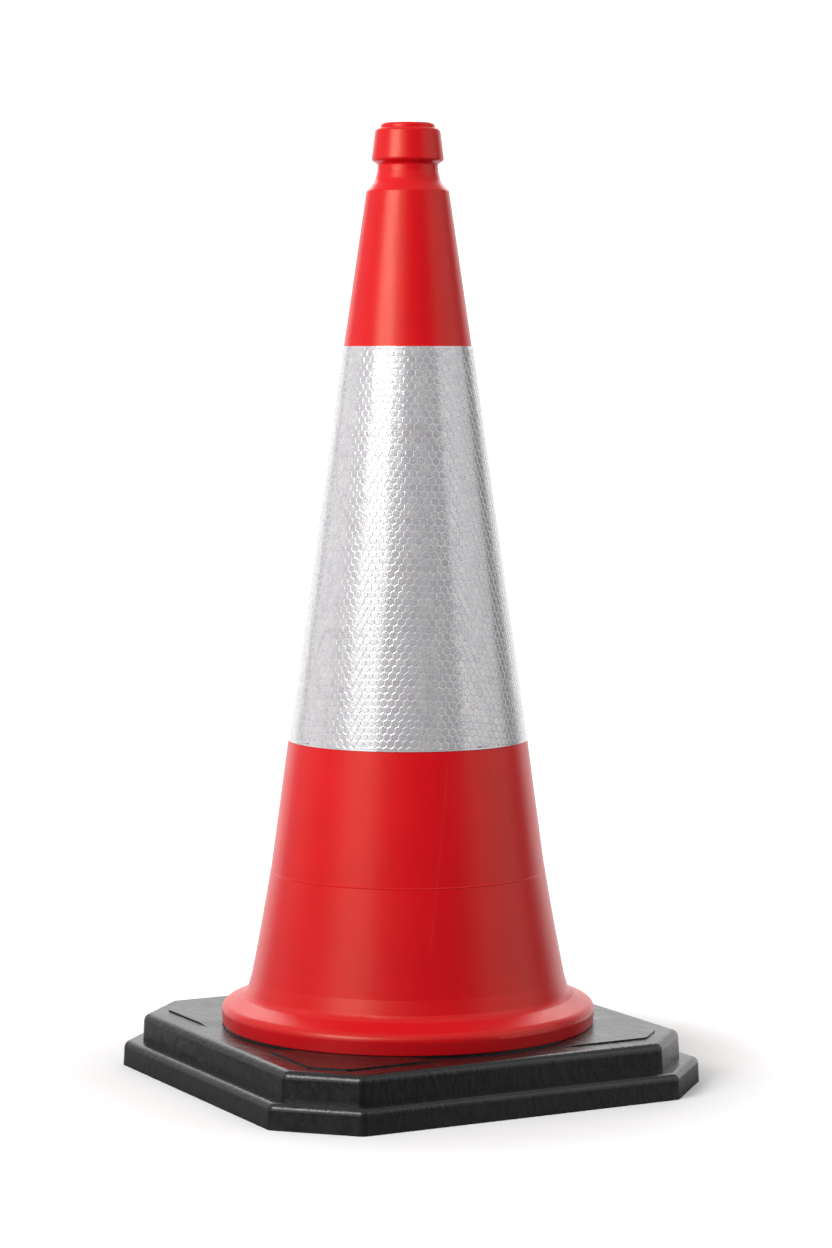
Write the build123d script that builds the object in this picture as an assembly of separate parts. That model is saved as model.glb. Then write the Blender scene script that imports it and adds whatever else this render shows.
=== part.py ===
from build123d import *
import os
from math import sqrt

# Two-part road cone: a moulded polyethylene cone body with a push-on reflective
# sleeve, standing in a heavy recycled-rubber base that it locks into by a twist.
# Millimetres, +Z up, origin on the ground at the centre of the base.

# Overall
CONE_TOP_Z = 1000.0
SEAT_Z = 57.0

# Base: two octagonal tiers (half width, distance from axis to corner chamfer)
BASE_HALF = 250.7
BASE_CORNER = 305.2
LOWER_TIER_Z = 26.5
UPPER_TIER_Z = 55.4
TIER_INSET = 19.5
TIER_DRAFT_DEG = 3.0
OUTLINE_ROUND = 10.0
LOWER_EDGE_ROUND = 7.5
UPPER_EDGE_ROUND = 8.5

# Raised corner pads and round seat on the base's top face
PAD_HALF = 201.5
PAD_CORNER = 264.0
PAD_VALLEY_HALF = 70.0
PAD_RAMP = 22.0
SEAT_OUTER_R = 195.0

# Shallow field moulded into the underside, crossed by radial strips
FIELD_INSET = 22.0
FIELD_DEPTH = 2.5
HUB_OUTER_R = 198.0
STRIP_WIDTH = 14.0
STRIP_COUNT = 16

# Twist lock: four lugs on the cone's spigot under a ledge in the base's hole
HOLE_R = 172.4
GROOVE_R = 182.0
LEDGE_BOTTOM_Z = 40.0
SPIGOT_R = 172.0
SPIGOT_INNER_R = 168.0
SPIGOT_BOTTOM_Z = 12.0
LUG_COUNT = 4
LUG_OUTER_R = 179.5
LUG_LOW_Z = 28.0
LUG_HIGH_Z = 39.8
LUG_ARC_DEG = 20.0
SLOT_OUTER_R = 181.0
SLOT_ARC_DEG = 24.0
UNLOCK_TURN_DEG = 40.0
STOP_INNER_R = 173.0
STOP_ARC_DEG = 6.0
STOP_GAP_DEG = 0.3
STOP_LOW_Z = 24.0

# Flange the cone rests on
FLANGE_R = 197.5
FLANGE_SHOULDER_Z = 76.5
FLANGE_ROOT_R = 170.9
FLANGE_ROOT_Z = 88.5
FLANGE_ROOT_ROUND = 10.0
FLANGE_SHOULDER_ROUND = 9.5
FLANGE_FOOT_R = 196.2
FLANGE_FOOT_ROUND = 1.2
RELIEF_INNER_R = 176.0
RELIEF_OUTER_R = 186.0
RELIEF_SIDE_Z = 70.0
RELIEF_TOP_Z = 77.0

# Tapered wall: radius and height where the slope changes
SKIRT_R, SKIRT_Z = 165.2, 107.7
FLARE_R, FLARE_Z = 155.3, 159.0
WITNESS_R, WITNESS_Z = 144.9, 218.5
WITNESS_PROUD = 0.35
WITNESS_HALF_HEIGHT = 0.8
SLEEVE_LOW_R, SLEEVE_LOW_Z = 125.9, 356.7
SLEEVE_TOP_R, SLEEVE_TOP_Z = 67.8, 768.8
SHOULDER_R, SHOULDER_Z = 43.2, 929.6
WALL = 3.0

# Reflective sleeve
SLEEVE_THICKNESS = 0.6
SLEEVE_GAP = 0.3

# Grip neck, head and lip at the top
NECK_TOP_R, NECK_TOP_Z = 31.3, 957.4
NECK_WAIST_R, NECK_WAIST_Z = 31.8, 950.0
NECK_ROOT_R, NECK_ROOT_Z = 34.4, 940.0
HEAD_LOW_R, HEAD_LOW_Z = 37.9, 961.4
HEAD_HIGH_R, HEAD_HIGH_Z = 33.7, 994.4
HEAD_LOW_ROUND = 3.6
HEAD_HIGH_ROUND = 3.6
NECK_ROUND = 3.0
NECK_ROOT_ROUND = 14.0
SHOULDER_ROUND = 3.5
LIP_R = 28.2
LIP_ROUND = 3.0
SOCKET_R = 22.5
SOCKET_BOTTOM_Z = 990.0
HEAD_INNER_HIGH_R, HEAD_INNER_HIGH_Z = 30.3, 989.0
HEAD_INNER_LOW_R, HEAD_INNER_LOW_Z = 33.6, 967.0
NECK_INNER_R, NECK_INNER_Z = 28.3, 956.0
NECK_INNER_LOW_R, NECK_INNER_LOW_Z = 29.2, 946.0

PARTS = "parts"


def octagon(half, corner, rounding, height):
    """Square with cut corners, its edges rounded, on the plane at this height."""
    reach = corner * sqrt(2) - half
    points = [
        (half, -reach),
        (half, reach),
        (reach, half),
        (-reach, half),
        (-half, reach),
        (-half, -reach),
        (-reach, -half),
        (reach, -half),
    ]
    outline = make_face(Polyline(*points, close=True))
    if rounding > 0:
        outline = fillet(outline.vertices(), rounding)
    return Pos(0, 0, height) * outline


def half_section(points):
    """Face on the XZ plane from (radius, height) points, closed back to the first."""
    corners = [(radius, 0, height) for radius, height in points]
    return make_face(Polyline(*corners, close=True))


def round_corner(section, radius_at, height_at, rounding):
    """Round the section's corner nearest this radius and height."""
    corner = section.vertices().sort_by_distance(Vector(radius_at, 0, height_at))[0]
    return fillet(corner, rounding)


def ring_sector(inner, outer, low, high, centre_deg, arc_deg):
    """Part of a ring, centred on one angle round the axis."""
    section = half_section([(inner, low), (outer, low), (outer, high), (inner, high)])
    swept = revolve(section, Axis.Z, revolution_arc=arc_deg)
    return swept.rotate(Axis.Z, centre_deg - arc_deg / 2)


def cone_outline():
    """Outer and inner outline of the cone's wall, from head to spigot."""
    recess = SLEEVE_THICKNESS + SLEEVE_GAP
    return [
        (SOCKET_R, CONE_TOP_Z),
        (LIP_R, CONE_TOP_Z),
        (LIP_R, HEAD_HIGH_Z),
        (HEAD_HIGH_R, HEAD_HIGH_Z),
        (HEAD_LOW_R, HEAD_LOW_Z),
        (NECK_TOP_R, NECK_TOP_Z),
        (NECK_WAIST_R, NECK_WAIST_Z),
        (NECK_ROOT_R, NECK_ROOT_Z),
        (SHOULDER_R, SHOULDER_Z),
        (SLEEVE_TOP_R - recess, SLEEVE_TOP_Z),
        (SLEEVE_LOW_R - recess, SLEEVE_LOW_Z),
        (SLEEVE_LOW_R, SLEEVE_LOW_Z),
        (WITNESS_R - WITNESS_PROUD, WITNESS_Z + WITNESS_HALF_HEIGHT),
        (WITNESS_R + WITNESS_PROUD, WITNESS_Z),
        (WITNESS_R, WITNESS_Z - WITNESS_HALF_HEIGHT),
        (FLARE_R, FLARE_Z),
        (SKIRT_R, SKIRT_Z),
        (FLANGE_ROOT_R, FLANGE_ROOT_Z),
        (FLANGE_R, FLANGE_SHOULDER_Z),
        (FLANGE_FOOT_R, SEAT_Z),
        (RELIEF_OUTER_R, SEAT_Z),
        (RELIEF_OUTER_R, RELIEF_SIDE_Z),
        (RELIEF_INNER_R, RELIEF_TOP_Z),
        (RELIEF_INNER_R, SEAT_Z),
        (SPIGOT_R, SEAT_Z),
        (SPIGOT_R, SPIGOT_BOTTOM_Z),
        (SPIGOT_INNER_R, SPIGOT_BOTTOM_Z),
        (SPIGOT_INNER_R, FLANGE_ROOT_Z),
        (SKIRT_R - WALL, SKIRT_Z),
        (FLARE_R - WALL, FLARE_Z),
        (WITNESS_R - WALL, WITNESS_Z),
        (SLEEVE_LOW_R - recess - WALL, SLEEVE_LOW_Z),
        (SLEEVE_TOP_R - recess - WALL, SLEEVE_TOP_Z),
        (SHOULDER_R - WALL, SHOULDER_Z - WALL),
        (NECK_INNER_LOW_R, NECK_INNER_LOW_Z),
        (NECK_INNER_R, NECK_INNER_Z),
        (HEAD_INNER_LOW_R, HEAD_INNER_LOW_Z),
        (HEAD_INNER_HIGH_R, HEAD_INNER_HIGH_Z),
        (SOCKET_R, SOCKET_BOTTOM_Z),
    ]


def cone_body():
    """Hollow moulded body: head, grip neck, tapered wall, flange and lugged spigot."""
    section = half_section(cone_outline())
    section = round_corner(section, LIP_R, CONE_TOP_Z, LIP_ROUND)
    section = round_corner(section, HEAD_HIGH_R, HEAD_HIGH_Z, HEAD_HIGH_ROUND)
    section = round_corner(section, HEAD_LOW_R, HEAD_LOW_Z, HEAD_LOW_ROUND)
    section = round_corner(section, NECK_TOP_R, NECK_TOP_Z, NECK_ROUND)
    section = round_corner(section, NECK_ROOT_R, NECK_ROOT_Z, NECK_ROOT_ROUND)
    section = round_corner(section, SHOULDER_R, SHOULDER_Z, SHOULDER_ROUND)
    section = round_corner(section, FLANGE_ROOT_R, FLANGE_ROOT_Z, FLANGE_ROOT_ROUND)
    section = round_corner(section, FLANGE_R, FLANGE_SHOULDER_Z, FLANGE_SHOULDER_ROUND)
    section = round_corner(section, FLANGE_FOOT_R, SEAT_Z, FLANGE_FOOT_ROUND)
    body = revolve(section, Axis.Z)
    overlap_r = (SPIGOT_R + SPIGOT_INNER_R) / 2
    for index in range(LUG_COUNT):
        angle = index * 360 / LUG_COUNT
        body += ring_sector(overlap_r, LUG_OUTER_R, LUG_LOW_Z, LUG_HIGH_Z, angle, LUG_ARC_DEG)
    return body


def reflective_sleeve():
    """Thin tapered tube of prismatic sheeting, resting on the ledge below it."""
    section = half_section(
        [
            (SLEEVE_LOW_R - SLEEVE_THICKNESS, SLEEVE_LOW_Z),
            (SLEEVE_LOW_R, SLEEVE_LOW_Z),
            (SLEEVE_TOP_R, SLEEVE_TOP_Z),
            (SLEEVE_TOP_R - SLEEVE_THICKNESS, SLEEVE_TOP_Z),
        ]
    )
    return revolve(section, Axis.Z)


def tier(inset, low, high, rounding):
    """One drafted octagonal slab with its top edge rounded."""
    outline = octagon(BASE_HALF - inset, BASE_CORNER - inset, OUTLINE_ROUND, low)
    slab = extrude(outline, amount=high - low, taper=TIER_DRAFT_DEG)
    return fillet(slab.edges().group_by(Axis.Z)[-1], rounding)


def corner_pads():
    """Raised octagonal panel, ramped away along the middle of each side."""
    outline = octagon(PAD_HALF, PAD_CORNER, OUTLINE_ROUND, UPPER_TIER_Z)
    pads = extrude(outline, amount=SEAT_Z - UPPER_TIER_Z)
    reach = BASE_HALF - TIER_INSET
    ramp_end = PAD_VALLEY_HALF + PAD_RAMP
    for turn in range(4):
        valley = make_face(
            Polyline(
                (0, -PAD_VALLEY_HALF, UPPER_TIER_Z),
                (0, PAD_VALLEY_HALF, UPPER_TIER_Z),
                (0, ramp_end, SEAT_Z),
                (0, -ramp_end, SEAT_Z),
                close=True,
            )
        )
        cutter = extrude(valley, amount=reach, dir=(1, 0, 0))
        pads -= cutter.rotate(Axis.Z, turn * 90)
    seat = Cylinder(SEAT_OUTER_R, SEAT_Z - UPPER_TIER_Z, align=(Align.CENTER, Align.CENTER, Align.MIN))
    return pads + Pos(0, 0, UPPER_TIER_Z) * seat


def underside_field():
    """Shallow recess between the rim and the hub, so that the base stands on strips."""
    outline = octagon(BASE_HALF - FIELD_INSET, BASE_CORNER - FIELD_INSET, OUTLINE_ROUND, 0)
    field = extrude(outline, amount=FIELD_DEPTH)
    field -= Cylinder(HUB_OUTER_R, FIELD_DEPTH * 3)
    for index in range(STRIP_COUNT):
        strip = Pos(BASE_CORNER / 2, 0, 0) * Box(BASE_CORNER, STRIP_WIDTH, FIELD_DEPTH * 3)
        field -= strip.rotate(Axis.Z, (index + 0.5) * 360 / STRIP_COUNT)
    return field


def lock_ring_cut():
    """The base's central hole: a clear ledge above and a wider groove for the lugs."""
    section = half_section(
        [
            (0, -SEAT_Z),
            (GROOVE_R, -SEAT_Z),
            (GROOVE_R, LEDGE_BOTTOM_Z),
            (HOLE_R, LEDGE_BOTTOM_Z),
            (HOLE_R, SEAT_Z * 2),
            (0, SEAT_Z * 2),
        ]
    )
    cut = revolve(section, Axis.Z)
    for index in range(LUG_COUNT):
        angle = index * 360 / LUG_COUNT + UNLOCK_TURN_DEG
        low = LEDGE_BOTTOM_Z - WALL
        cut += ring_sector(SPIGOT_INNER_R, SLOT_OUTER_R, low, SEAT_Z * 2, angle, SLOT_ARC_DEG)
    return cut


def rubber_base():
    """Two-tier ballast base with its lock ring, stops and underside field."""
    base = tier(0, 0, LOWER_TIER_Z, LOWER_EDGE_ROUND)
    base += tier(TIER_INSET, LOWER_TIER_Z, UPPER_TIER_Z, UPPER_EDGE_ROUND)
    base += corner_pads()
    base -= underside_field()
    base -= lock_ring_cut()
    locked_stop = -(LUG_ARC_DEG + STOP_ARC_DEG) / 2 - STOP_GAP_DEG
    open_stop = UNLOCK_TURN_DEG + (SLOT_ARC_DEG + STOP_ARC_DEG) / 2
    for index in range(LUG_COUNT):
        for offset in (locked_stop, open_stop):
            angle = index * 360 / LUG_COUNT + offset
            base += ring_sector(
                STOP_INNER_R, GROOVE_R + WALL, STOP_LOW_Z, LEDGE_BOTTOM_Z + WALL, angle, STOP_ARC_DEG
            )
    return base


os.makedirs(PARTS, exist_ok=True)
PIECES = {
    "rubber_base": rubber_base(),
    "cone_body": cone_body(),
    "reflective_sleeve": reflective_sleeve(),
}
for name, piece in PIECES.items():
    export_step(piece, f"{PARTS}/{name}.step")
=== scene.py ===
import math

import bmesh
import bpy
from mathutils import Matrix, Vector, noise


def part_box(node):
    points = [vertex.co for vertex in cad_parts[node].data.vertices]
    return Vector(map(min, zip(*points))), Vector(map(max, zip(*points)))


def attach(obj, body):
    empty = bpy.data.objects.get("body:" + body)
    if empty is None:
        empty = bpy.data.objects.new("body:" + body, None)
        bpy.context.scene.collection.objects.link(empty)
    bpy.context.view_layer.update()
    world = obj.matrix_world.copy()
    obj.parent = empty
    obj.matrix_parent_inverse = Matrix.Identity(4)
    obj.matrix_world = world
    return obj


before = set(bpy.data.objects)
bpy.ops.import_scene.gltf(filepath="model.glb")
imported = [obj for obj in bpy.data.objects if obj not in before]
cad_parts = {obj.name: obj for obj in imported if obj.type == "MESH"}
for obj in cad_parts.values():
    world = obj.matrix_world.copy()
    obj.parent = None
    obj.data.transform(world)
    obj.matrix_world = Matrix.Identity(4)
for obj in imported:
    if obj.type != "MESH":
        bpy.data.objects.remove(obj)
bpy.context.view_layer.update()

# ---------------------------------------------------------------------------
# Studio: a white sweep of paper, one bright soft key light high on the left,
# and six dimmer panels that fill the sides, the front, the back and the top.
# The camera stands 3.7 m away, at hip height.
# ---------------------------------------------------------------------------
SWEEP_RADIUS = 3.0
SWEEP_FADE_START = 0.30
SWEEP_FADE_END = 0.54
PAPER_WHITE = "#f8f8f8"
PAPER_BOUNCE = "#929292"
CAMERA_PLACE = (-1.7177, -3.2449, 0.7649)
CAMERA_AIM = (0.46847, 0.88002, -0.0780)
LENS_MM = 101.05
SENSOR_MM = 36.0
BACKDROP_FADE = (0.58, 0.78)
BACKDROP_GLOW = (0.07, 1.3)
CEILING_FADE = (0.30, 0.75)
CEILING_GLOW = (0.0, 0.55)
FACING = math.degrees(math.atan2(CAMERA_PLACE[1], CAMERA_PLACE[0]))


def colour(code):
    """Linear colour of an sRGB hex value, with full alpha."""
    parts = [int(code[i : i + 2], 16) / 255 for i in (1, 3, 5)]
    linear = [c / 12.92 if c <= 0.04045 else ((c + 0.055) / 1.055) ** 2.4 for c in parts]
    return (*linear, 1.0)


def add(tree, kind, settings=None, inputs=None):
    """One node with its settings; an input is a value or another node's output."""
    made = tree.nodes.new(kind)
    for name, value in (settings or {}).items():
        setattr(made, name, value)
    for name, value in (inputs or {}).items():
        if isinstance(value, bpy.types.NodeSocket):
            tree.links.new(value, made.inputs[name])
        else:
            made.inputs[name].default_value = value
    return made


def new_material(name):
    """An empty node material and its tree."""
    material = bpy.data.materials.new(name)
    material.use_nodes = True
    material.node_tree.nodes.clear()
    return material, material.node_tree


def soft_box(name, degrees_from_camera, distance, height, size, brightness, aim_height):
    """A rectangular light, placed by its angle from the camera's side of the cone.

    Brightness is its radiance divided by pi.
    """
    angle = math.radians(FACING + degrees_from_camera)
    lamp = bpy.data.lights.new(name, "AREA")
    lamp.shape = "RECTANGLE"
    lamp.size, lamp.size_y = size
    lamp.energy = brightness * math.pi * size[0] * size[1] * math.pi
    box = bpy.data.objects.new(name, lamp)
    bpy.context.scene.collection.objects.link(box)
    box.location = (distance * math.cos(angle), distance * math.sin(angle), height)
    aim = Vector((0, 0, aim_height)) - box.location
    box.rotation_euler = aim.to_track_quat("-Z", "Y").to_euler()


# Matt white paper sweep: it fades into the backdrop so that no edge shows. It is
# white to the camera only, and grey to bounced light, which real paper isn't.
paper, tree = new_material("matt_white_paper_sweep")
place = add(tree, "ShaderNodeTexCoord")
reach = add(tree, "ShaderNodeVectorMath", {"operation": "LENGTH"}, {0: place.outputs["Object"]})
fade = add(
    tree,
    "ShaderNodeMapRange",
    {"interpolation_type": "SMOOTHSTEP"},
    {"Value": reach.outputs["Value"], "From Min": SWEEP_FADE_START, "From Max": SWEEP_FADE_END},
)
seen = add(tree, "ShaderNodeLightPath")
tint = add(
    tree,
    "ShaderNodeMix",
    {"data_type": "RGBA"},
    {"Factor": seen.outputs["Is Camera Ray"], "A": colour(PAPER_BOUNCE), "B": colour(PAPER_WHITE)},
)
sheet = add(tree, "ShaderNodeBsdfDiffuse", None, {"Color": tint.outputs["Result"], "Roughness": 0.4})
clear = add(tree, "ShaderNodeBsdfTransparent")
mixed = add(
    tree,
    "ShaderNodeMixShader",
    None,
    {0: fade.outputs["Result"], 1: sheet.outputs["BSDF"], 2: clear.outputs["BSDF"]},
)
add(tree, "ShaderNodeOutputMaterial", None, {"Surface": mixed.outputs["Shader"]})

sweep_mesh = bpy.data.meshes.new("paper_sweep")
shaper = bmesh.new()
bmesh.ops.create_circle(shaper, cap_ends=True, segments=96, radius=SWEEP_RADIUS)
shaper.to_mesh(sweep_mesh)
shaper.free()
sweep = bpy.data.objects.new("paper_sweep", sweep_mesh)
sweep_mesh.materials.append(paper)
bpy.context.scene.collection.objects.link(sweep)

# The room lights the cone brightly from behind, less from the ceiling and very
# little from the camera's side. The camera itself sees it white everywhere.
world = bpy.data.worlds.new("studio_room")
bpy.context.scene.world = world
world.use_nodes = True
tree = world.node_tree
tree.nodes.clear()
sight = add(tree, "ShaderNodeTexCoord")
away = Vector((-CAMERA_PLACE[0], -CAMERA_PLACE[1], 0)).normalized()
facing = add(
    tree,
    "ShaderNodeVectorMath",
    {"operation": "DOT_PRODUCT"},
    {0: sight.outputs["Generated"], 1: away},
)
backdrop = add(
    tree,
    "ShaderNodeMapRange",
    {"interpolation_type": "SMOOTHSTEP"},
    {
        "Value": facing.outputs["Value"],
        "From Min": BACKDROP_FADE[0],
        "From Max": BACKDROP_FADE[1],
        "To Min": BACKDROP_GLOW[0],
        "To Max": BACKDROP_GLOW[1],
    },
)
split = add(tree, "ShaderNodeSeparateXYZ", None, {"Vector": sight.outputs["Generated"]})
ceiling = add(
    tree,
    "ShaderNodeMapRange",
    {"interpolation_type": "SMOOTHSTEP"},
    {
        "Value": split.outputs["Z"],
        "From Min": CEILING_FADE[0],
        "From Max": CEILING_FADE[1],
        "To Min": CEILING_GLOW[0],
        "To Max": CEILING_GLOW[1],
    },
)
room = add(
    tree,
    "ShaderNodeMath",
    {"operation": "MAXIMUM"},
    {0: backdrop.outputs["Result"], 1: ceiling.outputs["Result"]},
)
path = add(tree, "ShaderNodeLightPath")
shown = add(
    tree,
    "ShaderNodeMath",
    {"operation": "MAXIMUM"},
    {0: room.outputs["Value"], 1: path.outputs["Is Camera Ray"]},
)
glow = add(
    tree,
    "ShaderNodeBackground",
    None,
    {"Color": colour("#ffffff"), "Strength": shown.outputs["Value"]},
)
add(tree, "ShaderNodeOutputWorld", None, {"Surface": glow.outputs["Background"]})

soft_box("key_soft_box", -44, 2.4, 1.75, (1.35, 0.90), 2.80, 0.60)
soft_box("low_fill_panel", -44, 2.4, 0.66, (1.35, 1.25), 0.47, 0.50)
soft_box("side_soft_box", 80, 2.2, 1.00, (2.3, 2.2), 0.28, 0.50)
soft_box("rear_reflector", -104, 2.4, 1.00, (1.5, 2.2), 0.20, 0.50)
soft_box("left_fill_panel", -73, 2.4, 1.00, (1.1, 2.2), 0.11, 0.50)
soft_box("front_top_fill", -28, 2.4, 1.75, (1.8, 0.8), 0.64, 0.40)
soft_box("rear_top_bank", 180, 2.3, 1.80, (2.8, 0.8), 0.75, 0.10)

lens = bpy.data.cameras.new("studio_camera")
lens.lens = LENS_MM
lens.sensor_width = SENSOR_MM
lens.clip_end = 50
camera = bpy.data.objects.new("studio_camera", lens)
bpy.context.scene.collection.objects.link(camera)
camera.location = CAMERA_PLACE
camera.rotation_euler = Vector(CAMERA_AIM).to_track_quat("-Z", "Y").to_euler()
bpy.context.scene.camera = camera
bpy.context.scene.view_settings.view_transform = "Standard"

# ---------------------------------------------------------------------------
# Base: one heavy block pressed from recycled rubber crumb, black, two stepped
# octagons with rounded edges. The cone drops through its hole and locks.
# ---------------------------------------------------------------------------
RUBBER_BLACK = "#141415"
RUBBER_DUSTY = "#1f1f1f"
CRUMB_MM = 1.5
SMEAR_MM = 4.5
SMEAR_STRETCH = (14.0, 1.0, 3.0)
STREAK_TURN = -73.0
SWIRL_MM = 60.0
SWIRL_PULL = 0.035
CLOUD_MM = 70.0

# Recycled rubber, hot pressed: a satin skin with crumb grain and flow smears.
rubber, tree = new_material("recycled_rubber_hot_pressed")
place = add(tree, "ShaderNodeTexCoord")
crumb = add(
    tree,
    "ShaderNodeTexNoise",
    None,
    {"Vector": place.outputs["Object"], "Scale": 1000 / CRUMB_MM, "Detail": 3.0, "Roughness": 0.6},
)
swirl = add(
    tree,
    "ShaderNodeTexNoise",
    None,
    {"Vector": place.outputs["Object"], "Scale": 1000 / SWIRL_MM, "Detail": 1.0, "Roughness": 0.5},
)
pulled = add(
    tree,
    "ShaderNodeVectorMath",
    {"operation": "MULTIPLY_ADD"},
    {0: swirl.outputs["Color"], 1: (SWIRL_PULL,) * 3, 2: place.outputs["Object"]},
)
stretched = add(
    tree,
    "ShaderNodeMapping",
    {"vector_type": "TEXTURE"},
    {
        "Vector": pulled.outputs["Vector"],
        "Rotation": (0, 0, math.radians(STREAK_TURN)),
        "Scale": SMEAR_STRETCH,
    },
)
smear = add(
    tree,
    "ShaderNodeTexNoise",
    None,
    {"Vector": stretched.outputs["Vector"], "Scale": 1000 / SMEAR_MM, "Detail": 3.0, "Roughness": 0.6},
)
cloud = add(
    tree,
    "ShaderNodeTexNoise",
    None,
    {"Vector": place.outputs["Object"], "Scale": 1000 / CLOUD_MM, "Detail": 4.0, "Roughness": 0.6},
)
dust = add(
    tree,
    "ShaderNodeMapRange",
    None,
    {"Value": smear.outputs["Fac"], "From Min": 0.42, "From Max": 0.70},
)
skin = add(
    tree,
    "ShaderNodeMix",
    {"data_type": "RGBA"},
    {"Factor": dust.outputs["Result"], "A": colour(RUBBER_BLACK), "B": colour(RUBBER_DUSTY)},
)
worn = add(
    tree,
    "ShaderNodeMapRange",
    None,
    {"Value": cloud.outputs["Fac"], "From Min": 0.3, "From Max": 0.7, "To Min": 0.12, "To Max": 0.19},
)
rough = add(
    tree,
    "ShaderNodeMath",
    {"operation": "MULTIPLY_ADD"},
    {0: smear.outputs["Fac"], 1: 0.26, 2: worn.outputs["Result"]},
)
grain = add(
    tree,
    "ShaderNodeBump",
    None,
    {"Height": crumb.outputs["Fac"], "Strength": 0.30, "Distance": 0.0003},
)
flow = add(
    tree,
    "ShaderNodeBump",
    None,
    {
        "Height": smear.outputs["Fac"],
        "Strength": 0.5,
        "Distance": 0.0008,
        "Normal": grain.outputs["Normal"],
    },
)
surface = add(
    tree,
    "ShaderNodeBsdfPrincipled",
    None,
    {
        "Base Color": skin.outputs["Result"],
        "Roughness": rough.outputs["Value"],
        "Normal": flow.outputs["Normal"],
        "IOR": 1.54,
    },
)
add(tree, "ShaderNodeOutputMaterial", None, {"Surface": surface.outputs["BSDF"]})


def dress(piece, material):
    """Give one piece of the frame its material in place of the plain one."""
    piece.data.materials.clear()
    piece.data.materials.append(material)


dress(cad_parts["rubber_base"], rubber)

# ---------------------------------------------------------------------------
# Cone body: one hollow moulding in red polyethylene, with a grip head, a ledge
# for the sleeve and a flange that sits on the base.
# ---------------------------------------------------------------------------
POLY_RED = "#f60f20"
POLY_DEEP_RED = "#f00e1e"
FLANGE_SHADE_RED = "#c80b18"
FLANGE_SHADE_Z = (0.058, 0.080, 0.300)
RUB_PALE = "#f0a0a0"
GLOSS_TINT = "#ffdfc0"
PEEL_MM = 1.6
SINK_MM = 45.0
SCUFF_MM = 9.0
SCUFF_STRETCH = 0.08
MARK_LOW_TURN, MARK_LOW_Z = 8.0, 0.150
MARK_HIGH_TURN, MARK_HIGH_Z = 18.3, 0.342
MARK_WALL_R = 0.15
MARK_HALF_WIDTH = 0.0006
MARK_STRENGTH = 0.045

# Polyethylene, moulded: satin skin with faint orange peel and drag streaks, and
# one long rub mark up the front. The deeper red toward the flange is painted in:
# it stands for light falling off near the floor, and isn't a trait of the plastic.
poly, tree = new_material("red_polyethylene_moulded")
place = add(tree, "ShaderNodeTexCoord")
peel = add(
    tree,
    "ShaderNodeTexNoise",
    None,
    {"Vector": place.outputs["Object"], "Scale": 1000 / PEEL_MM, "Detail": 2.0, "Roughness": 0.5},
)
sink = add(
    tree,
    "ShaderNodeTexNoise",
    None,
    {"Vector": place.outputs["Object"], "Scale": 1000 / SINK_MM, "Detail": 3.0, "Roughness": 0.5},
)
drawn = add(
    tree,
    "ShaderNodeMapping",
    None,
    {"Vector": place.outputs["Object"], "Scale": (1.0, 1.0, SCUFF_STRETCH)},
)
streak = add(
    tree,
    "ShaderNodeTexNoise",
    None,
    {"Vector": drawn.outputs["Vector"], "Scale": 1000 / SCUFF_MM, "Detail": 4.0, "Roughness": 0.6},
)
tone = add(
    tree,
    "ShaderNodeMapRange",
    None,
    {"Value": sink.outputs["Fac"], "From Min": 0.35, "From Max": 0.65},
)
skin = add(
    tree,
    "ShaderNodeMix",
    {"data_type": "RGBA"},
    {"Factor": tone.outputs["Result"], "A": colour(POLY_RED), "B": colour(POLY_DEEP_RED)},
)
# A faint slanted rub mark on the lower wall, seen as a thin paler line.
low_turn = math.radians(FACING + MARK_LOW_TURN)
high_turn = math.radians(FACING + MARK_HIGH_TURN)
spot = add(tree, "ShaderNodeSeparateXYZ", None, {"Vector": place.outputs["Object"]})
bearing = add(
    tree, "ShaderNodeMath", {"operation": "ARCTAN2"}, {0: spot.outputs["Y"], 1: spot.outputs["X"]}
)
track = add(
    tree,
    "ShaderNodeMapRange",
    {"clamp": False},
    {
        "Value": spot.outputs["Z"],
        "From Min": MARK_LOW_Z,
        "From Max": MARK_HIGH_Z,
        "To Min": low_turn,
        "To Max": high_turn,
    },
)
astray = add(
    tree,
    "ShaderNodeMath",
    {"operation": "SUBTRACT"},
    {0: bearing.outputs["Value"], 1: track.outputs["Result"]},
)
distance = add(tree, "ShaderNodeMath", {"operation": "ABSOLUTE"}, {0: astray.outputs["Value"]})
line = add(
    tree,
    "ShaderNodeMapRange",
    None,
    {
        "Value": distance.outputs["Value"],
        "From Min": 0.0,
        "From Max": 2 * MARK_HALF_WIDTH / MARK_WALL_R,
        "To Min": MARK_STRENGTH,
        "To Max": 0.0,
    },
)
mid_z = (MARK_LOW_Z + MARK_HIGH_Z) / 2
span = add(
    tree,
    "ShaderNodeMath",
    {"operation": "COMPARE"},
    {0: spot.outputs["Z"], 1: mid_z, 2: MARK_HIGH_Z - mid_z},
)
mark = add(
    tree, "ShaderNodeMath", {"operation": "MULTIPLY"}, {0: line.outputs["Result"], 1: span.outputs["Value"]}
)
rubbed = add(
    tree,
    "ShaderNodeMix",
    {"data_type": "RGBA"},
    {"Factor": mark.outputs["Value"], "A": skin.outputs["Result"], "B": colour(RUB_PALE)},
)
# Painted shade: the red deepens from the lower wall down to the flange, standing in for light falling off
# near the floor.
rim_z, ledge_z, wall_z = FLANGE_SHADE_Z
rise = add(
    tree,
    "ShaderNodeMapRange",
    None,
    {"Value": spot.outputs["Z"], "From Min": rim_z, "From Max": ledge_z, "To Max": 0.5},
)
climb = add(
    tree,
    "ShaderNodeMapRange",
    None,
    {"Value": spot.outputs["Z"], "From Min": ledge_z, "From Max": wall_z, "To Max": 0.5},
)
shade_height = add(
    tree,
    "ShaderNodeMath",
    {"operation": "ADD"},
    {0: rise.outputs["Result"], 1: climb.outputs["Result"]},
)
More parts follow.
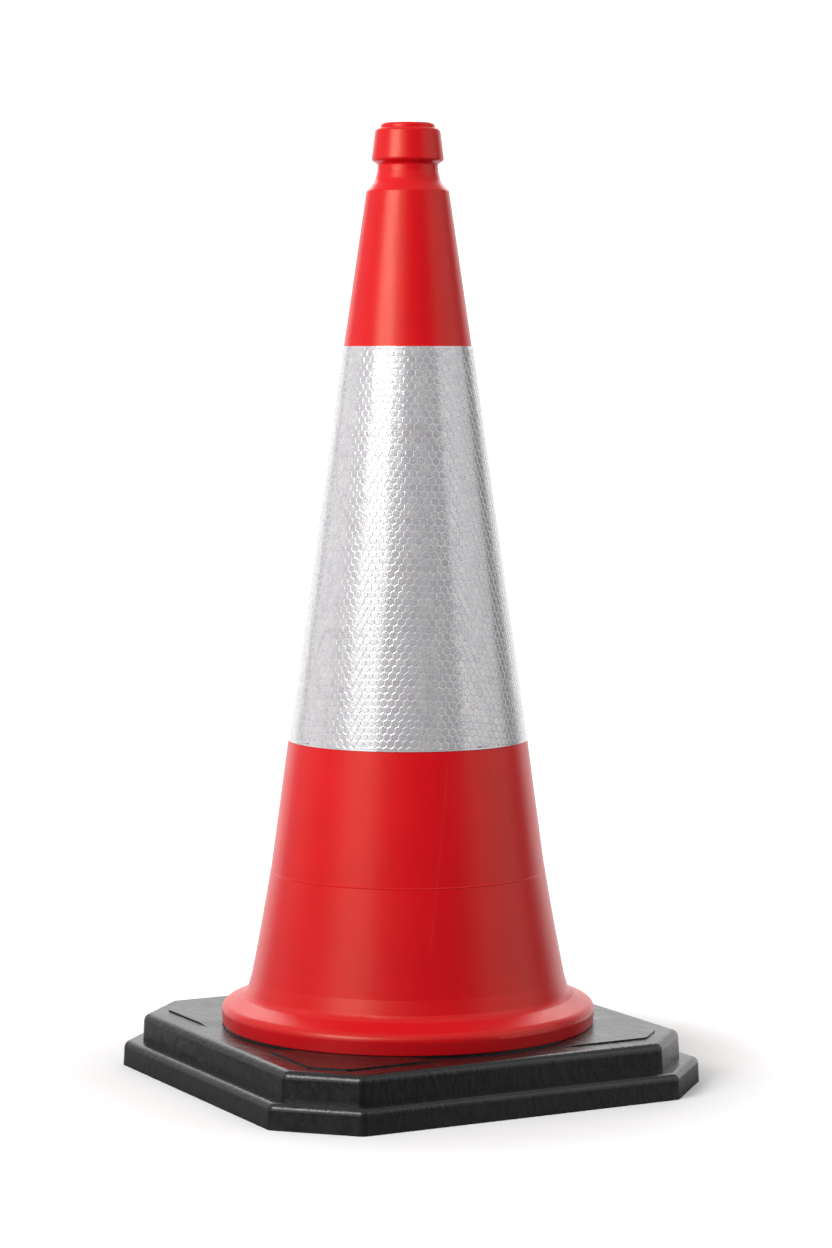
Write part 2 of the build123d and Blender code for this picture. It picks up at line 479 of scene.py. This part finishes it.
shade_deepened = add(
    tree,
    "ShaderNodeMix",
    {"data_type": "RGBA"},
    {"Factor": shade_height.outputs["Value"], "A": colour(FLANGE_SHADE_RED), "B": rubbed.outputs["Result"]},
)
rough = add(
    tree,
    "ShaderNodeMapRange",
    None,
    {"Value": streak.outputs["Fac"], "From Min": 0.3, "From Max": 0.7, "To Min": 0.31, "To Max": 0.37},
)
fine = add(
    tree,
    "ShaderNodeBump",
    None,
    {"Height": peel.outputs["Fac"], "Strength": 0.25, "Distance": 0.0002},
)
drag = add(
    tree,
    "ShaderNodeBump",
    None,
    {
        "Height": streak.outputs["Fac"],
        "Strength": 0.12,
        "Distance": 0.0006,
        "Normal": fine.outputs["Normal"],
    },
)
surface = add(
    tree,
    "ShaderNodeBsdfPrincipled",
    None,
    {
        "Base Color": shade_deepened.outputs["Result"],
        "Roughness": rough.outputs["Result"],
        "Normal": drag.outputs["Normal"],
        "Specular Tint": colour(GLOSS_TINT),
        "IOR": 1.51,
    },
)
add(tree, "ShaderNodeOutputMaterial", None, {"Surface": surface.outputs["BSDF"]})

dress(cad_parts["cone_body"], poly)

# ---------------------------------------------------------------------------
# Reflective sleeve: a tube of white PVC with prismatic honeycomb film welded
# on its face, rolled from one curved blank and lapped at the back.
# ---------------------------------------------------------------------------
CELL_PITCH = 0.0080
SEAL_DEPTH = 0.00015
SEAL_SHARE = 0.84
PILLOW_SHARE = 0.42
PILLOW_RISE = 0.00003
FILM_STANDOFF = 0.00055
EDGE_BAND = 0.0018
PRISM_MM = 1.5
PRISM_TILT = 0.055
CREASE_MM = 55.0
CREASE_STRETCH = 0.12
CREASE_WARP = 0.005
LAP_WIDTH = 0.016
LAP_RISE = 0.0006
WELD_RIB = 0.004
RIB_SHARE = 0.15
RIPPLE = 0.00028
SWAY_ROUND, SWAY_UP, SWAY_SHARE = 2.2, 7.0, 0.7
FOLD_ROUND, FOLD_UP, FOLD_SHARE = 9.0, 11.0, 0.45
BLANK_TURN = -10.0
TONE_SCATTER = 900
BAND_STEPS = 360
FILM_SHADE = "#d7d4d8"
FILM_BRIGHT = "#f6f3f5"
SEAL_WHITE = "#ecebee"
CREASE_SHADE_GREY = "#a39a9a"
PVC_SHADE = "#dcdcdd"
PVC_WHITE = "#e9e9ea"
PVC_GRAIN_MM = 1.2

low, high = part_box("reflective_sleeve")
foot_z, head_z = low.z, high.z
points = [v.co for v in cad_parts["reflective_sleeve"].data.vertices]
foot_r = max(math.hypot(p.x, p.y) for p in points if p.z < foot_z + 1e-5)
head_r = max(math.hypot(p.x, p.y) for p in points if p.z > head_z - 1e-5)
lean = math.atan2(foot_r - head_r, head_z - foot_z)
blank_out = foot_r / math.sin(lean)
blank_in = head_r / math.sin(lean)
blank_half = math.pi * math.sin(lean)
front = math.radians(FACING + BLANK_TURN)


def rolled(reach, turn, lift):
    """Point of the flat blank (distance from its apex, angle) on the sleeve."""
    reach = min(max(reach, blank_in), blank_out)
    angle = front + turn / math.sin(lean)
    radius = reach * math.sin(lean)
    z = head_z - (reach - blank_in) * math.cos(lean)
    east, north = math.cos(angle), math.sin(angle)
    sway = noise.noise(Vector((east * SWAY_ROUND, north * SWAY_ROUND, z * SWAY_UP)))
    fold = noise.noise(Vector((east * FOLD_ROUND, north * FOLD_ROUND, z * FOLD_UP + 5.0)))
    radius += FILM_STANDOFF + lift + RIPPLE * (SWAY_SHARE * sway + FOLD_SHARE * fold)
    return (radius * east, radius * north, z)


# One hexagonal cell at a time: a sunk seal line round a slightly domed pillow.
film_mesh = bpy.data.meshes.new("honeycomb_film")
shaper = bmesh.new()
cell_tone = shaper.loops.layers.float_color.new("cell_tone")
row_pitch = CELL_PITCH * math.sqrt(3) / 2
corner = CELL_PITCH / math.sqrt(3)
inner_edge, outer_edge = blank_in + EDGE_BAND, blank_out - EDGE_BAND
rows = range(int(blank_in * math.cos(blank_half) / row_pitch) - 1, int(blank_out / row_pitch) + 2)
half_count = int(blank_out * math.sin(blank_half) / CELL_PITCH) + 1
for row in rows:
    for column in range(-half_count, half_count + 1):
        across = (column + 0.5 * (row % 2)) * CELL_PITCH
        up = row * row_pitch
        reach = math.hypot(across, up)
        turn = math.atan2(across, up)
        if not inner_edge - corner < reach < outer_edge + corner:
            continue
        if abs(turn) * reach > blank_half * reach + corner:
            continue
        tone_value = 0.5 + 0.5 * noise.noise(Vector((across * TONE_SCATTER, up * TONE_SCATTER, 3.0)))
        rings = []
        for share, lift in ((1.0, -SEAL_DEPTH), (SEAL_SHARE, 0.0), (PILLOW_SHARE, PILLOW_RISE)):
            ring = []
            for step in range(6):
                corner_turn = math.radians(30 + 60 * step)
                x = across + corner * share * math.cos(corner_turn)
                y = up + corner * share * math.sin(corner_turn)
                far = min(max(math.hypot(x, y), inner_edge), outer_edge)
                swing = min(max(math.atan2(x, y), -blank_half), blank_half)
                ring.append(shaper.verts.new(rolled(far, swing, lift)))
            rings.append(ring)
        faces = [shaper.faces.new(rings[2])]
        for outer, inner in zip(rings, rings[1:]):
            for step in range(6):
                after = (step + 1) % 6
                quad = (outer[step], outer[after], inner[after], inner[step])
                faces.append(shaper.faces.new(quad))
        for face in faces:
            face.smooth = face not in faces[1:7]
            for edge in face.edges:
                if all(vertex in rings[1] for vertex in edge.verts):
                    edge.smooth = False
            for loop in face.loops:
                rim = 1.0 if loop.vert in rings[0] else 0.0
                loop[cell_tone] = (tone_value, rim, 0.0, 1.0)
# Plain sealed bands along the top and bottom edges of the film.
for near, far in ((blank_in, inner_edge), (outer_edge, blank_out)):
    band = []
    for step in range(BAND_STEPS + 1):
        turn = blank_half * (2 * step / BAND_STEPS - 1)
        band.append([shaper.verts.new(rolled(r, turn, -SEAL_DEPTH)) for r in (near, far)])
    for (a, b), (c, d) in zip(band, band[1:]):
        face = shaper.faces.new((a, b, d, c))
        face.smooth = True
        for loop in face.loops:
            loop[cell_tone] = (0.5, 1.0, 0.0, 1.0)
bmesh.ops.remove_doubles(shaper, verts=shaper.verts, dist=0.00005)
bmesh.ops.recalc_face_normals(shaper, faces=shaper.faces)
shaper.to_mesh(film_mesh)
shaper.free()
film = bpy.data.objects.new("honeycomb_film", film_mesh)
bpy.context.scene.collection.objects.link(film)

# Prismatic film: bright micro-prisms under a clear, glossy acrylic face, with
# fine drawn-out crease lines where it was bent round the cone, painted as darker
# shade. Real prisms are far finer than a millimetre, so they are drawn at 1.5 mm
# to show as sparkle: tilted facets, and a painted glint facet by facet.
prism, tree = new_material("prismatic_film_embossed")
place = add(tree, "ShaderNodeTexCoord")
cells = add(tree, "ShaderNodeAttribute", {"attribute_name": "cell_tone"})
parts = add(tree, "ShaderNodeSeparateColor", None, {"Color": cells.outputs["Color"]})
# Painted glint: the colour brightens facet by facet where the prisms would catch light; each cell's own
# tone varies at random.
facets = add(
    tree,
    "ShaderNodeTexVoronoi",
    {"feature": "F1"},
    {"Vector": place.outputs["Object"], "Scale": 1000 / PRISM_MM, "Randomness": 1.0},
)
sparkle = add(
    tree,
    "ShaderNodeSeparateColor",
    None,
    {"Color": facets.outputs["Color"]},
)
glint = add(
    tree,
    "ShaderNodeMath",
    {"operation": "MULTIPLY_ADD"},
    {0: sparkle.outputs["Red"], 1: 0.8, 2: parts.outputs["Red"]},
)
bright = add(
    tree,
    "ShaderNodeMapRange",
    None,
    {"Value": glint.outputs["Value"], "From Min": 0.4, "From Max": 1.4},
)
silver_and_glint = add(
    tree,
    "ShaderNodeMix",
    {"data_type": "RGBA"},
    {"Factor": bright.outputs["Result"], "A": colour(FILM_SHADE), "B": colour(FILM_BRIGHT)},
)
sealed = add(
    tree,
    "ShaderNodeMix",
    {"data_type": "RGBA"},
    {"Factor": parts.outputs["Green"], "A": silver_and_glint.outputs["Result"], "B": colour(SEAL_WHITE)},
)
drawn_out = add(
    tree,
    "ShaderNodeMapping",
    None,
    {"Vector": place.outputs["Object"], "Scale": (1.0, 1.0, CREASE_STRETCH)},
)
wander = add(
    tree,
    "ShaderNodeTexNoise",
    None,
    {"Vector": place.outputs["Object"], "Scale": 1000 / CREASE_MM, "Detail": 2.0},
)
bent = add(
    tree,
    "ShaderNodeVectorMath",
    {"operation": "MULTIPLY_ADD"},
    {0: wander.outputs["Color"], 1: (CREASE_WARP,) * 3, 2: drawn_out.outputs["Vector"]},
)
# Painted shade: a thin darker grey line along each crease, where the fold turns from the light.
crease = add(
    tree,
    "ShaderNodeTexVoronoi",
    {"feature": "DISTANCE_TO_EDGE"},
    {"Vector": bent.outputs["Vector"], "Scale": 1000 / CREASE_MM},
)
crease_shade_line = add(
    tree,
    "ShaderNodeMapRange",
    None,
    {"Value": crease.outputs["Distance"], "From Max": 0.009, "To Min": 0.22, "To Max": 0.0},
)
crease_shaded = add(
    tree,
    "ShaderNodeMix",
    {"data_type": "RGBA"},
    {
        "Factor": crease_shade_line.outputs["Result"],
        "A": sealed.outputs["Result"],
        "B": colour(CREASE_SHADE_GREY),
    },
)
prick = add(
    tree,
    "ShaderNodeBump",
    None,
    {"Height": facets.outputs["Distance"], "Strength": 0.15, "Distance": 0.0003},
)
tilt = add(
    tree,
    "ShaderNodeVectorMath",
    {"operation": "SUBTRACT"},
    {0: facets.outputs["Color"], 1: (0.5, 0.5, 0.5)},
)
tipped = add(
    tree,
    "ShaderNodeVectorMath",
    {"operation": "MULTIPLY_ADD"},
    {0: tilt.outputs["Vector"], 1: (PRISM_TILT,) * 3, 2: prick.outputs["Normal"]},
)
prisms = add(
    tree,
    "ShaderNodeVectorMath",
    {"operation": "NORMALIZE"},
    {0: tipped.outputs["Vector"]},
)
surface = add(
    tree,
    "ShaderNodeBsdfPrincipled",
    None,
    {
        "Base Color": crease_shaded.outputs["Result"],
        "Metallic": 0.30,
        "Roughness": 0.17,
        "Normal": prisms.outputs["Vector"],
        "Coat Weight": 0.5,
        "Coat Roughness": 0.15,
        "Coat IOR": 1.50,
    },
)
add(tree, "ShaderNodeOutputMaterial", None, {"Surface": surface.outputs["BSDF"]})
film_mesh.materials.append(prism)
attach(film, "sleeve")

# The blank's two ends lap at the back and are welded with a ribbed tool.
seam_mesh = bpy.data.meshes.new("sleeve_lap_seam")
shaper = bmesh.new()
steps = int((blank_out - blank_in) / WELD_RIB) * 2
profile = ((0.0, -1.0), (0.06, 1.0), (0.5, 1.0), (0.94, 1.0), (1.0, -1.0))
slices = []
for step in range(steps + 1):
    reach = blank_in + (blank_out - blank_in) * step / steps
    rib = RIB_SHARE * (step % 2)
    cut = []
    for share, stand in profile:
        lift = LAP_RISE * (stand - rib if stand > 0 else 0)
        swing = share * LAP_WIDTH / reach - blank_half
        cut.append(shaper.verts.new(rolled(reach, swing, lift)))
    slices.append(cut)
for cut, after in zip(slices, slices[1:]):
    for step in range(len(profile) - 1):
        shaper.faces.new((cut[step], after[step], after[step + 1], cut[step + 1]))
bmesh.ops.recalc_face_normals(shaper, faces=shaper.faces)
shaper.to_mesh(seam_mesh)
shaper.free()
seam = bpy.data.objects.new("sleeve_lap_seam", seam_mesh)
bpy.context.scene.collection.objects.link(seam)
seam_mesh.materials.append(prism)
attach(seam, "sleeve")

# White PVC carrier: calendered sheet with a faint grain, seen at the sleeve's cut
# edges and inside it.
carrier, tree = new_material("white_pvc_calendered")
place = add(tree, "ShaderNodeTexCoord")
sheet_grain = add(
    tree,
    "ShaderNodeTexNoise",
    None,
    {"Vector": place.outputs["Object"], "Scale": 1000 / PVC_GRAIN_MM, "Detail": 2.0},
)
shade = add(
    tree,
    "ShaderNodeMix",
    {"data_type": "RGBA"},
    {"Factor": sheet_grain.outputs["Fac"], "A": colour(PVC_SHADE), "B": colour(PVC_WHITE)},
)
press = add(
    tree,
    "ShaderNodeBump",
    None,
    {"Height": sheet_grain.outputs["Fac"], "Strength": 0.2, "Distance": 0.0002},
)
surface = add(
    tree,
    "ShaderNodeBsdfPrincipled",
    None,
    {
        "Base Color": shade.outputs["Result"],
        "Roughness": 0.42,
        "Normal": press.outputs["Normal"],
        "IOR": 1.53,
    },
)
add(tree, "ShaderNodeOutputMaterial", None, {"Surface": surface.outputs["BSDF"]})
dress(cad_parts["reflective_sleeve"], carrier)
